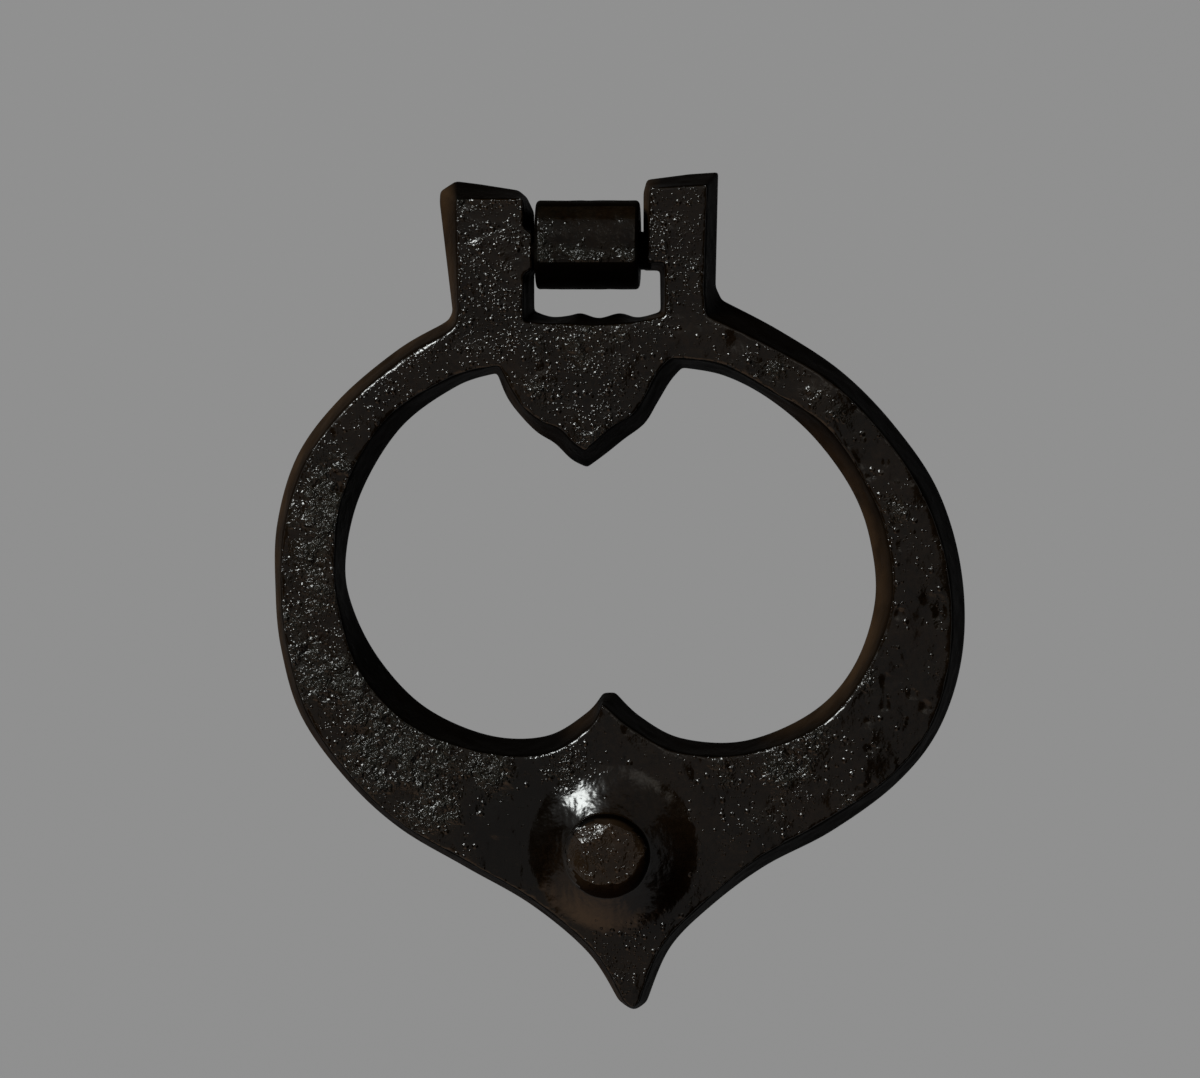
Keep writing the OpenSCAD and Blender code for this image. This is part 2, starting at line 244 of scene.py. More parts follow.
def soften(loop, reach):
    """The closed loop, blurred along itself with a Gaussian of that many stations, which rounds its
    corners."""
    wave = np.fft.fftfreq(len(loop))[:, None]
    return np.fft.ifft(np.fft.fft(loop, axis=0) * np.exp(-2 * (np.pi * reach * wave) ** 2), axis=0).real


def noise(points, cell, seed):
    """Value noise from -1 to 1: random numbers on the corners of a square or cubic lattice, blended
    between the corners by the weight 3t^2 - 2t^3 in each direction."""
    count = 64
    q = np.asarray(points) / cell
    base = np.floor(q).astype(int)
    t = q - base
    t = t * t * (3 - 2 * t)
    table = np.random.default_rng(seed).uniform(-1, 1, (count,) * q.shape[1])
    total = np.zeros(len(q))
    for corner in np.ndindex((2,) * q.shape[1]):
        weight = np.prod(np.where(corner, t, 1 - t), axis=1)
        total += weight * table[tuple(((base + corner) % count).T)]
    return total


def rough(points, cell, seed, layers=3):
    """Layers of noise, each with half the cell and half the height of the one before."""
    return sum(noise(points, cell / 2 ** i, seed + i) / 2 ** i for i in range(layers))


def parts_of(points):
    """The points' numbers in parts of about 2000, to keep the arrays small."""
    return np.array_split(np.arange(len(points)), max(1, len(points) // 2000))


def inside(points, loops):
    """True for each point that lies inside an odd number of the closed loops: an edge counts where it
    spans the point's height and crosses to its right."""
    a = np.vstack(loops)
    b = np.vstack([np.roll(loop, -1, axis=0) for loop in loops])
    odd = np.zeros(len(points), bool)
    for part in parts_of(points):
        x, z = points[part, :1], points[part, 1:2]
        spans = (a[:, 1] > z) != (b[:, 1] > z)
        cross = a[:, 0] + (z - a[:, 1]) * (b[:, 0] - a[:, 0]) / (b[:, 1] - a[:, 1] + 1e-12)
        odd[part] = (spans & (x < cross)).sum(1) % 2 == 1
    return odd


def clear_of(points, loops, gap):
    """True for each point at least that far from every point of the loops."""
    rim = np.vstack(loops)
    clear = np.zeros(len(points), bool)
    for part in parts_of(points):
        apart = points[part, None] - rim[None]
        clear[part] = (apart ** 2).sum(2).min(1) > gap ** 2
    return clear


def fill(loops, step):
    """Even triangles between closed loops: points on a lattice of equal triangles, where they are inside
    and clear of the loops, joined with the loops' own points. Returns all points, the loops' first and in
    order, and triangles."""
    rim = np.vstack(loops)
    low, high = rim.min(0), rim.max(0)
    rows = np.arange(low[1], high[1], step * np.sqrt(0.75))
    columns = np.arange(low[0], high[0], step)
    grid = np.stack(np.meshgrid(columns, rows), axis=2)
    grid[1::2, :, 0] += step / 2
    grid = grid.reshape(-1, 2)
    grid = grid[inside(grid, loops)]
    grid = grid[clear_of(grid, loops, 0.6 * step)]
    points = np.vstack([rim, grid])
    starts = np.cumsum([0] + [len(loop) for loop in loops])
    edges = np.vstack([np.stack([np.arange(a, b), np.roll(np.arange(a, b), -1)], axis=1)
                       for a, b in zip(starts[:-1], starts[1:])])
    made = delaunay_2d_cdt([Vector(p) for p in points / MM], edges.tolist(), [], 1, 1e-7)
    corners = np.array([source[0] for source in made[3]])
    triangles = corners[np.array(made[2])]
    middle = points[triangles].mean(1)
    return points, triangles[inside(middle, loops)]


def join(pieces):
    """Several (points, faces) shells as one, where faces are a list of corner arrays."""
    points, faces, start = [], [], 0
    for verts, parts in pieces:
        points.append(verts)
        faces += [part + start for part in parts]
        start += len(verts)
    return np.vstack(points), faces


def strip(rows, count, closed=True):
    """Four-cornered faces between rows of that many points each, whose numbers run on from row to row."""
    i = np.arange(count if closed else count - 1)
    j = (i + 1) % count
    base = np.arange(rows - 1)[:, None] * count
    return np.stack([base + i, base + j, base + count + j, base + count + i], axis=2).reshape(-1, 4)


def loft(rings):
    """Skin over rings of equally many points, each end closed by a fan about the middle of its ring."""
    m, n = rings.shape[:2]
    points = np.vstack([rings.reshape(-1, 3), rings[0].mean(0), rings[-1].mean(0)])
    i = np.arange(n)
    j = (i + 1) % n
    first = np.stack([np.full(n, m * n), j, i], axis=1)
    last = np.stack([np.full(n, m * n + 1), (m - 1) * n + i, (m - 1) * n + j], axis=1)
    return points, [strip(m, n), first, last]


def lathe(profile, count, origin, axis):
    """A profile of (distance along, radius) pairs turned once about the axis, which is X or Y."""
    turn = np.linspace(0, 2 * np.pi, count, endpoint=False)
    along, radius = np.array(profile, float).T
    flat = np.zeros((len(along), count)) + along[:, None]
    one, two = radius[:, None] * np.cos(turn), radius[:, None] * np.sin(turn)
    sides = (flat, one, two) if axis == "X" else (two, flat, one)
    return loft(np.stack(sides, axis=2) + origin)


def make_mesh(name, points, faces, marks):
    """A mesh object of the points and faces, turned outwards: where the sum of the triple products of its
    triangles is negative, every face's corners are put in the other order. marks maps an attribute's name
    to its value at each point; a face takes the second finish where its corners' mean of "wall" is over a
    half."""
    fans = np.vstack([part[:, [0, k, k + 1]] for part in faces for k in range(1, part.shape[1] - 1)])
    a, b, c = points[fans].transpose(1, 0, 2)
    if np.einsum("ij,ij->i", a, np.cross(b, c)).sum() < 0:
        faces = [part[:, ::-1] for part in faces]
    corners = np.concatenate([part.ravel() for part in faces])
    sides = np.concatenate([np.full(len(part), part.shape[1]) for part in faces])
    mesh = bpy.data.meshes.new(name)
    mesh.vertices.add(len(points))
    mesh.vertices.foreach_set("co", points.astype(np.float32).ravel())
    mesh.loops.add(len(corners))
    mesh.loops.foreach_set("vertex_index", corners.astype(np.int32))
    mesh.polygons.add(len(sides))
    mesh.polygons.foreach_set("loop_start", np.concatenate([[0], np.cumsum(sides)[:-1]]).astype(np.int32))
    mesh.update(calc_edges=True)
    mesh.shade_smooth()
    for key, values in marks.items():
        mesh.attributes.new(key, "FLOAT", "POINT").data.foreach_set("value", values.astype(np.float32))
    # Faces that take the second finish: the darker, duller lacquer of painted shade
    painted_light = np.concatenate([marks["wall"][part].mean(1) > 0.5 for part in faces])
    mesh.polygons.foreach_set("material_index", painted_light.astype(np.int32))
    if mesh.validate():
        raise RuntimeError(name + " has faces that Blender can't use")
    made = bpy.data.objects.new(name, mesh)
    bpy.context.scene.collection.objects.link(made)
    return made


def swelling(distance, sizes):
    """Height of the swelling at a distance from its middle. From the foot to the crown it rises as three
    quarters of a straight line and a quarter of one minus a cosine, and it starts in a short hollow
    curve."""
    crown, foot = sizes.knob_r - 1 * MM, 0.28
    u = np.clip((sizes.boss_r - distance) / (sizes.boss_r - crown), 0, 1)
    u = (1 + foot) * u * u / (u + foot)
    return sizes.boss_h * (0.75 * u + 0.25 * (1 - np.cos(np.pi / 2 * u)))


def patches(places, table, least):
    """How strong a finish is at each place, from 0 to 1: a least level everywhere and a bell-shaped rise
    about each place in the table, broken up by noise into patches a few millimetres wide."""
    level = np.full(len(places), least)
    for x, z, reach, gain in np.array(table) * [MM, MM, MM, 1]:
        level += gain * np.exp(-((places[:, 0] - x) ** 2 + (places[:, 1] - z) ** 2) / reach ** 2)
    broken = 0.9 + 0.4 * noise(places, 5 * MM, 13) + 0.6 * noise(places, 2.2 * MM, 14)
    return np.clip(level * broken, 0, 1)


def relief(places, sizes):
    """Height of the face above its plane: broad beaten waves, lumps of the sand mould that are stronger
    where the lacquer is crinkled, shallow dimples, gouges as valleys along short lines, and the swelling,
    whose surface is calm but for fine upright brush strokes."""
    waves = 0.3 * noise(places, 9 * MM, 3) + 0.3 * noise(places, 5 * MM, 4)
    lumps = 0.34 * noise(places, 2.5 * MM, 6) + 0.22 * noise(places, 1.25 * MM, 7)
    grit = 0.1 * noise(places, 0.75 * MM, 8)
    right = np.clip((places[:, 0] - 35 * MM) / (15 * MM), 0.25, 0.7)
    dimples = -right * np.clip(noise(places, 2.2 * MM, 11) - 0.4, 0, 1)
    crinkled = 0.16 + 0.9 * patches(places, CRINKLES, 0.05)
    height = sizes.lumps * (0.8 * waves + crinkled * (lumps + grit) + 0.8 * dimples)
    for x0, z0, x1, z1, half, depth in np.array(GOUGES) * MM:
        start, run = np.array([x0, z0]), np.array([x1 - x0, z1 - z0])
        share = np.clip((places - start) @ run / (run @ run), 0, 1)
        gap = np.hypot(*(places - start - share[:, None] * run).T)
        height = height - depth * np.exp(-(gap / half) ** 2) * (0.7 + 0.3 * noise(places, 0.8 * MM, 21))
    out = np.hypot(places[:, 0] - sizes.boss_x, places[:, 1] - sizes.boss_z)
    calm = np.clip((out - 0.72 * sizes.boss_r) / (0.5 * sizes.boss_r), 0.1, 1)
    near = np.clip(1.5 - out / sizes.boss_r, 0, 0.6)
    strokes = 0.035 * MM * noise(places / [0.5, 2.6], 1 * MM, 22) * near
    return height * calm + strokes + swelling(out, sizes)


def edge_wear(places, sizes):
    """Radius of the worn edge at each place: uneven along its length, and wider at each flake."""
    wear = sizes.edge * (1 + 0.55 * noise(places, 2.2 * MM, 31) + 0.35 * noise(places, 0.9 * MM, 32))
    for x, z, reach, extra in np.array(FLAKES) * MM:
        gap = np.hypot(places[:, 0] - x, places[:, 1] - z)
        wear = wear + extra * np.exp(-(gap / reach) ** 2) * (0.6 + 0.4 * noise(places, 1.3 * MM, 33))
    return np.maximum(wear, 0.15 * MM)


def side(loop, back_y, sizes):
    """The wall along a loop as rows of points from the back to the face: a small round at the back edge,
    a leaning wall with shallow hollows, and a quadratic curve round the worn face edge. Returns (rows,
    points, 3)."""
    back, face = loop[:, :2], loop[:, :2] + loop[:, 2:]
    along = np.roll(face, -1, axis=0) - np.roll(face, 1, axis=0)
    out = soften(np.stack([along[:, 1], -along[:, 0]], axis=1) / np.hypot(*along.T)[:, None], 2.5)
    crowded = np.clip(soften(np.hypot(*along.T)[:, None], 2.5) / (2 * sizes.facet), 0.2, 1)
    wear = edge_wear(face, sizes)[:, None] * crowded
    inner = face - out * wear
    depth = sizes.thickness + 0.7 * relief(inner, sizes)[:, None]
    low = np.minimum(0.35 * MM / depth, 0.2)
    high = 1 - 1.3 * wear / depth
    rows = [np.hstack([back - out * 0.3 * MM, 0 * depth]),
            np.hstack([back - out * 0.06 * MM, 0.08 * MM + 0 * depth])]
    for share in np.linspace(0, 1, SLOPE_ROWS):
        at = low + (high - low) * share
        place = back + at * (face - back)
        spot = np.hstack([place, at * depth * 1.3])
        hollow = 0.16 * MM * rough(spot, 3.2 * MM, 41, 3) + 0.12 * MM * noise(spot, 9 * MM, 45)
        sunk = np.abs(hollow)[:, None] * np.sin(np.pi * share) ** 0.5
        rows.append(np.hstack([place - out * sunk, at * depth]))
    start = back + high * (face - back)
    for t in (0.25, 0.5, 0.75, 1.0):
        place = (1 - t) ** 2 * start + 2 * t * (1 - t) * face + t ** 2 * inner
        rows.append(np.hstack([place, ((1 - t) ** 2 * high + 2 * t * (1 - t) + t ** 2) * depth]))
    rows = np.array(rows)
    return np.stack([rows[:, :, 0], back_y - rows[:, :, 2], rows[:, :, 1]], axis=2)


def boss_rows(sizes, rim, count):
    """The swelling inside its rim circle and the knob on it, as rings from the rim inwards, and how much
    painted shade each of their points takes. The rings go from the rim to the knob's round root at the
    height of the swelling, up the knob's flank while the circle turns into the hammered face's outline, and
    in to the face's middle over dents and three slanting facets, each of which falls in proportion to the
    distance past a line."""
    turn = np.linspace(-np.pi, np.pi, count, endpoint=False)
    ray = np.stack([np.cos(turn), np.sin(turn)], axis=1)
    boss = np.array([sizes.boss_x, sizes.boss_z])
    middle = boss + np.array(KNOB_OFF) * MM
    root = middle + ray * sizes.knob_r * (1 + 0.02 * noise(ray * 2.3, 1, 51))[:, None]
    corners = np.array(KNOB_FACE) * MM
    corner_turn = np.arctan2(corners[:, 1], corners[:, 0])
    order = np.argsort(corner_turn)
    reach = np.interp(turn, corner_turn[order], np.hypot(*corners.T)[order], period=2 * np.pi)
    # The hammered face's middle is a little above the knob's
    crown = middle + np.array([0, 1.1]) * MM
    oval = crown + ray * (reach * (1 + 0.03 * noise(ray * 5.1, 1, 53)))[:, None]
    top = sizes.boss_h + sizes.knob_h

    slope = [boss + (1 - share) * ray * rim + share * (root - boss) for share in np.linspace(0, 1, 26)]
    rings = [np.column_stack([place, relief(place, sizes)]) for place in slope]
    foot = rings[-1][:, 2]
    # Each row up the flank: its shares of the way in to the face's outline and of the rise
    flank = np.array([[0.02, 0.12], [0.06, 0.3], [0.14, 0.5], [0.28, 0.68], [0.5, 0.82], [0.72, 0.91],
                      [0.9, 0.975]])
    for share, lift in flank:
        place = root + share * (oval - root)
        dents = 0.1 * MM * noise(place, 1.2 * MM, 54)
        rings.append(np.column_stack([place, foot + (top - foot) * lift + dents]))
    for share in np.linspace(1, 0.04, 24):
        place = crown + share * (oval - crown)
        dents = 0.15 * MM * rough(place, 2.4 * MM, 55, 2) - 0.1 * MM
        rings.append(np.column_stack([place, np.minimum(top + dents, top)]))
    rings = np.array(rings)
    upper = rings[len(slope):]
    away = upper[:, :, :2] - crown
    ragged = 0.4 * MM * noise(upper[:, :, :2].reshape(-1, 2), 2 * MM, 56).reshape(away.shape[:2])
    for x, z, line, fall in KNOB_FACETS:
        past = np.maximum(away @ np.array([x, z]) - line * MM + ragged, 0)
        upper[:, :, 2] = np.minimum(upper[:, :, 2], top - fall * past)
    painted_shade = np.zeros(rings.shape[:2])
    # The flank takes painted shade, the darker lacquer, but for its left side, where the unshaded part is
    # widest at the root
    unshaded = np.linspace(1.0, 0.2, len(flank))[:, None] * (1 + 0.25 * noise(ray * 3.7, 1, 57))
    painted_shade[len(slope):len(slope) + len(flank)] = 1 - np.exp(-((np.abs(turn) - 2.85) / unshaded) ** 2)
    return rings, painted_shade


def brown_sides(loops, rows):
    """How brown each wall point is, as a painted warm reflection: more where the wall leans to the left,
    fading from back to face.
    """
    lean = [loop[:, 2] / np.hypot(loop[:, 2], loop[:, 3]) for loop in loops]
    leftward = [np.clip((share - 0.25) / 0.6, 0, 1) for share in lean]
    fading = np.clip(1.15 - np.arange(rows) / 12, 0, 1)
    return np.concatenate([np.outer(fading, share).ravel() for share in leftward])


def ring_marks(points, wall_share, side_brown, sizes):
    """The finish at each point of the ring, from where the point is, how much painted shade its wall takes
    and how brown its wall is with painted warm reflection."""
    places = points[:, [0, 2]]
    away = places - np.array([sizes.boss_x, sizes.boss_z])
    out = np.hypot(*away.T)
    # The swelling's lower left flank is brown with a painted warm reflection. To the left of it the face is
    # smooth, with fewer grains and less brown
    flank = np.clip(1.2 - np.abs(out / sizes.boss_r - 0.58) / 0.4, 0, 1)
    low = np.clip(away @ np.array([-0.45, -0.9]) / np.maximum(out, MM), 0, 1)
    calm = np.clip((out / sizes.boss_r - 0.75) / 0.3, 0.12, 1)
    smooth = np.exp(-((places[:, 0] + 10 * MM) ** 2 + (places[:, 1] + 95 * MM) ** 2) / (9 * MM) ** 2)
    front = points[:, 1] < SWING["pos_m"][1]
    # The knob's face and upper flank have a finish of their own, whose brown is a painted sheen that
    # lightens the face
    knob = front & (np.hypot(*(away - np.array(KNOB_OFF) * MM).T) < sizes.knob_r * 0.9)
    brown = np.clip(0.3 * flank * low * front + side_brown, 0, 1) - 0.3 * smooth
    return {"wall": wall_share, "crinkle": np.where(knob, 0.15, patches(places, CRINKLES, 0.05) * calm),
            "grain": patches(places, GRAINS, 0.08) * np.where(knob, 1, calm * (1 - 0.8 * smooth)),
            "brown": np.where(knob, 0.35, brown)}


def ring_casting(sizes):
    """The ring's points, faces and marks: its outlines' walls, a flat uneven back, a face filled with
    even triangles whose height is the relief, the boss as rings let into that face, and the bar turned
    from the side."""
    pin = np.array(SWING["pos_m"])
    back_y = pin[1] + sizes.thickness / 2
    face_y = back_y - sizes.thickness
    outer = np.vstack([EAR_RIGHT, STUB_RIGHT, spline(SLOT_FLOOR), STUB_LEFT, EAR_LEFT, spline(RING_LEFT),
                       spline(POINT), spline(RING_RIGHT)])
    hole = np.vstack([spline(HOLE_RIGHT), spline(SHIELD_RIGHT), spline(SHIELD_LEFT), spline(HOLE_LEFT),
                      HOLE_LEFT[-1:]])[::-1]
    step = sizes.facet
    loops = [soften(even(loop * MM, step), 1.0) for loop in (outer, hole)]
    walls = [side(loop, back_y, sizes) for loop in loops]
    # The swelling's rings begin a little inside its foot, where the face's triangles end
    rim, boss_count = sizes.boss_r - 2.2 * MM, 220
    boss, painted_shade = boss_rows(sizes, rim, boss_count)
    boss_points = np.stack([boss[:, :, 0], face_y - boss[:, :, 2], boss[:, :, 1]], axis=2)

    face_loops = [wall[-1][:, [0, 2]] for wall in walls] + [boss[0][::-1, :2]]
    flat, face_triangles = fill(face_loops, step)
    inner = flat[sum(len(loop) for loop in face_loops):]
    inner_points = np.column_stack([inner[:, 0], face_y - relief(inner, sizes), inner[:, 1]])

    back_loops = [wall[0][:, [0, 2]] for wall in walls]
    back_step = 0.9 * MM
    flat_back, back_triangles = fill(back_loops, back_step)
    back_inner = flat_back[sum(len(loop) for loop in back_loops):]
    sunk = np.abs(0.1 * MM * rough(back_inner, 6 * MM, 61, 3))
    back_points = np.column_stack([back_inner[:, 0], back_y - sunk, back_inner[:, 1]])

    # The walls come first, then the boss, then the points inside the face and inside the back
    rows = [len(wall) for wall in walls]
    counts = [wall.shape[1] for wall in walls]
    starts = np.cumsum([0] + [r * c for r, c in zip(rows, counts)])
    points = np.vstack([wall.reshape(-1, 3) for wall in walls]
                       + [boss_points.reshape(-1, 3), inner_points, back_points])
    faces = [strip(r, c) + start for r, c, start in zip(rows, counts, starts)]
    faces.append(strip(len(boss), boss_count) + starts[2])
    last_ring = starts[2] + (len(boss) - 1) * boss_count + np.arange(boss_count)
    faces.append(np.column_stack([np.full(boss_count, len(points)), last_ring, np.roll(last_ring, -1)]))
    points = np.vstack([points, boss_points[-1].mean(0)])
    face_ids = np.concatenate([starts[i] + (rows[i] - 1) * counts[i] + np.arange(counts[i]) for i in (0, 1)]
                              + [starts[2] + np.arange(boss_count)[::-1],
                                 starts[2] + len(boss) * boss_count + np.arange(len(inner))])
    faces.append(face_ids[face_triangles])
    back_start = starts[2] + len(boss) * boss_count + len(inner)
    back_ids = np.concatenate([starts[i] + np.arange(counts[i]) for i in (0, 1)]
                              + [back_start + np.arange(len(back_inner))])
    faces.append(back_ids[back_triangles][:, ::-1])

    # A wall takes painted shade, the darker and duller lacquer, up to the last row of its slope, and turns
    # into the face over the next three
    share = np.clip((np.arange(rows[0]) - SLOPE_ROWS - 1) / 3, 0, 1)
    wall_share = np.concatenate([np.repeat(1 - share, count) for count in counts]
                                + [np.zeros(len(points) - starts[2])])
    wall_share[starts[2]:starts[2] + painted_shade.size] = painted_shade.ravel()
    # The bar's ends go 1.5 mm into the stubs
    reach = STUB_RIGHT[2][0] * MM + 1.5 * MM
    bar = lathe([(-reach, sizes.bar_r), (0, sizes.bar_r), (reach, sizes.bar_r)], 96, pin, "X")
    points, faces = join([(points, faces), bar])
    # The bar takes painted shade, the darker lacquer, all over
    wall_share = np.concatenate([wall_share, np.ones(len(bar[0]))])
    # The walls' brown is a painted warm reflection
    side_brown = brown_sides(loops, rows[0])
    side_brown = np.concatenate([side_brown, np.zeros(len(points) - len(side_brown))])
    return points, faces, ring_marks(points, wall_share, side_brown, sizes)


def rounded(low, high, radius, steps):
    """A box's outline from corner to corner, each corner a quarter circle."""
    turn = np.linspace(0, np.pi / 2, steps)
    centres = [(high[0] - radius, high[1] - radius), (low[0] + radius, high[1] - radius),
               (low[0] + radius, low[1] + radius), (high[0] - radius, low[1] + radius)]
    return np.vstack([np.column_stack([x + radius * np.cos(turn + i * np.pi / 2),
                                       z + radius * np.sin(turn + i * np.pi / 2)])
                      for i, (x, z) in enumerate(centres)])


def strap_roll(sizes, centre):
    """The rolled strap: its section, a rectangle with round corners, is carried round the bar from the
    lip under the neck, and its outer side follows the hammered radius at each direction."""
    lip, gap = np.radians(-38 - 180), np.radians(3.5)
    turn = np.linspace(lip + gap / 2, lip + 2 * np.pi - gap / 2, 260)
    angle, radius = np.array(ROLL, float).T
    outer = np.interp(np.degrees((turn + np.pi) % (2 * np.pi) - np.pi), angle, radius) * MM
    outer = np.convolve(np.pad(outer, 3, "edge"), np.ones(7) / 7, "valid")
    flat = np.linspace(-1, 1, 40)
    rings = []
    edge, half = sizes.edge, sizes.half_width
    quarter = np.linspace(0, np.pi / 2, 7)
    inward, down = edge * (1 - np.cos(quarter)), edge * (1 - np.sin(quarter))
    across = np.concatenate([[-half, -half], -half + inward, flat * (half - edge * 1.3),
                             (half - inward)[::-1], [half, half]])
    dip = np.concatenate([[0, 0], down, np.zeros(len(flat)), down[::-1], [0, 0]])
    for out in outer:
        top = out - dip
        top[:2] = [sizes.bore_r, (sizes.bore_r + out - edge) / 2]
        top[-2:] = top[:2][::-1]
        rings.append(np.column_stack([across, top]))
    rings = np.array(rings)
    x, level = rings[:, :, 0], rings[:, :, 1]
    cosine, sine = np.cos(turn)[:, None], np.sin(turn)[:, None]
    spot = np.stack([x, level * cosine, level * sine], axis=2)
    worn = level > sizes.bore_r + 0.1 * MM
    beaten = 0.05 * MM * rough(spot.reshape(-1, 3), 3.5 * MM, 71, 3).reshape(x.shape)
    lift = np.degrees((turn[:, None] + np.pi) % (2 * np.pi) - np.pi)
    # The strap's left end is dented a little above the middle
    nick = 0.5 * MM * np.exp(-((lift - 8) / 13) ** 2) * np.clip((-6.6 * MM - x) / (1.8 * MM), 0, 1)
    reach = level - np.where(worn, np.abs(beaten) + nick, 0)
    points = np.stack([x, -reach * cosine, reach * sine], axis=2) + centre
    return loft(points)


def rolled_eye(sizes):
    """The eye's points, faces and marks: the rolled strap, a neck whose rounded section narrows towards
    the collar, and the collar and shank turned about Y."""
    centre = np.array([0, SWING["pos_m"][1], 0])
    roll = strap_roll(sizes, centre)
    root, seat = centre[1] + sizes.bore_r + 0.8 * MM, -sizes.collar_t + 0.5 * MM
    # Half the neck's width and height at the strap
    neck_w, neck_h = 6.6 * MM, 3.3 * MM
    rings = []
    for share in np.linspace(0, 1, 24):
        half = neck_w + (sizes.collar_r - 3 * MM - neck_w) * share
        outline = rounded((-half, -neck_h), (half, neck_h), 1.1 * MM, 7)
        y = root + (seat - root) * share
        rings.append(np.column_stack([outline[:, 0], np.full(len(outline), y), outline[:, 1]]))
    neck = loft(np.array(rings))
    shank_r, shank_l = SHANK["dims"]["r_mm"] * MM, SHANK["dims"]["length_mm"] * MM
    quarter = np.linspace(0, np.pi / 2, 7)
    edge = sizes.edge
    collar = [(-sizes.collar_t + edge * (1 - np.sin(q)), sizes.collar_r - edge * (1 - np.cos(q)))
              for q in quarter[::-1]]
    tip = [(shank_l + MM * np.sin(q), shank_r - MM * (1 - np.cos(q))) for q in quarter]
    profile = [(-sizes.collar_t, 0.1 * MM), *collar, (-0.3 * MM, sizes.collar_r),
               (0, sizes.collar_r - 0.3 * MM), (0, shank_r),
               *[(y, shank_r) for y in np.linspace(0, shank_l, 30)[1:-1]], *tip, (shank_l + MM, 0.1 * MM)]
    turned = lathe(profile, 96, np.zeros(3), "Y")
    points, faces = join([roll, neck, turned])
    # The strap is lacquered from 23 degrees below its middle to 60 above; elsewhere the eye takes painted
    # shade, the darker and duller lacquer
    wall = np.zeros(len(points))
    wall[:len(roll[0])] = np.clip((np.abs(roll[0][:, 0]) - 7.6 * MM) / (0.5 * MM), 0, 1)
    lift = np.degrees(np.arctan2(points[:, 2], centre[1] - points[:, 1]))
    wall[(lift < -23) | (lift > 60)] = 1
    # Crinkles along the ledge below the strap's middle, and at its left end
    ledge = np.exp(-((points[:, 2] + 1.7 * MM) / (1.3 * MM)) ** 2) * (0.75 - points[:, 0] / (40 * MM))
    end = np.exp(-((points[:, 2] - 1 * MM) / (2 * MM)) ** 2 - ((points[:, 0] + 8 * MM) / (2 * MM)) ** 2)
    crinkle = np.clip(0.12 + ledge + 0.8 * end, 0, 1)
    return points, faces, {"wall": wall, "crinkle": crinkle, "grain": 0.35 * crinkle, "brown": 0 * wall}


class Graph:
    """The nodes of a material or lamp, added one by one with their values and the sockets they take."""

    def __init__(self, owner):
        owner.use_nodes = True
        self.owner = owner
        self.tree = owner.node_tree
        self.shader = self.tree.nodes.get("Principled BSDF")

    def add(self, kind, values=(), **settings):
        """Adds a node. values maps an input's name or number to a number, a colour or another node's
        output."""
        made = self.tree.nodes.new("ShaderNode" + kind)
        for key, value in settings.items():
            setattr(made, key, value)
        for key, value in dict(values).items():
            self.put(made.inputs[key], value)
        return made

    def put(self, socket, value):
        """Sets a socket to a value, or links it where the value is an output."""
        if isinstance(value, bpy.types.NodeSocket):
            self.tree.links.new(value, socket)
        else:
            socket.default_value = value

    def noise(self, place, size, detail=2.0, rough=0.5, **more):
        """Noise whose lumps are about that many metres wide."""
        values = {"Vector": place, "Scale": 1 / size, "Detail": detail, "Roughness": rough, **more}
        return self.add("TexNoise", values).outputs["Fac"]

    def math(self, operation, one, two=0.0, clamp=False):
        return self.add("Math", {0: one, 1: two}, operation=operation, use_clamp=clamp).outputs[0]

    def times(self, one, two):
        return self.math("MULTIPLY", one, two)

    def between(self, value, low, high, to_low=0.0, to_high=1.0):
        """value's way from low to high, turned into a number from to_low to to_high."""
        return self.add("MapRange", {"Value": value, "From Min": low, "From Max": high, "To Min": to_low,
                                     "To Max": to_high}).outputs["Result"]

    def mix(self, share, one, two):
        return self.add("Mix", {"Factor": share, "A": one, "B": two}, data_type="RGBA").outputs["Result"]


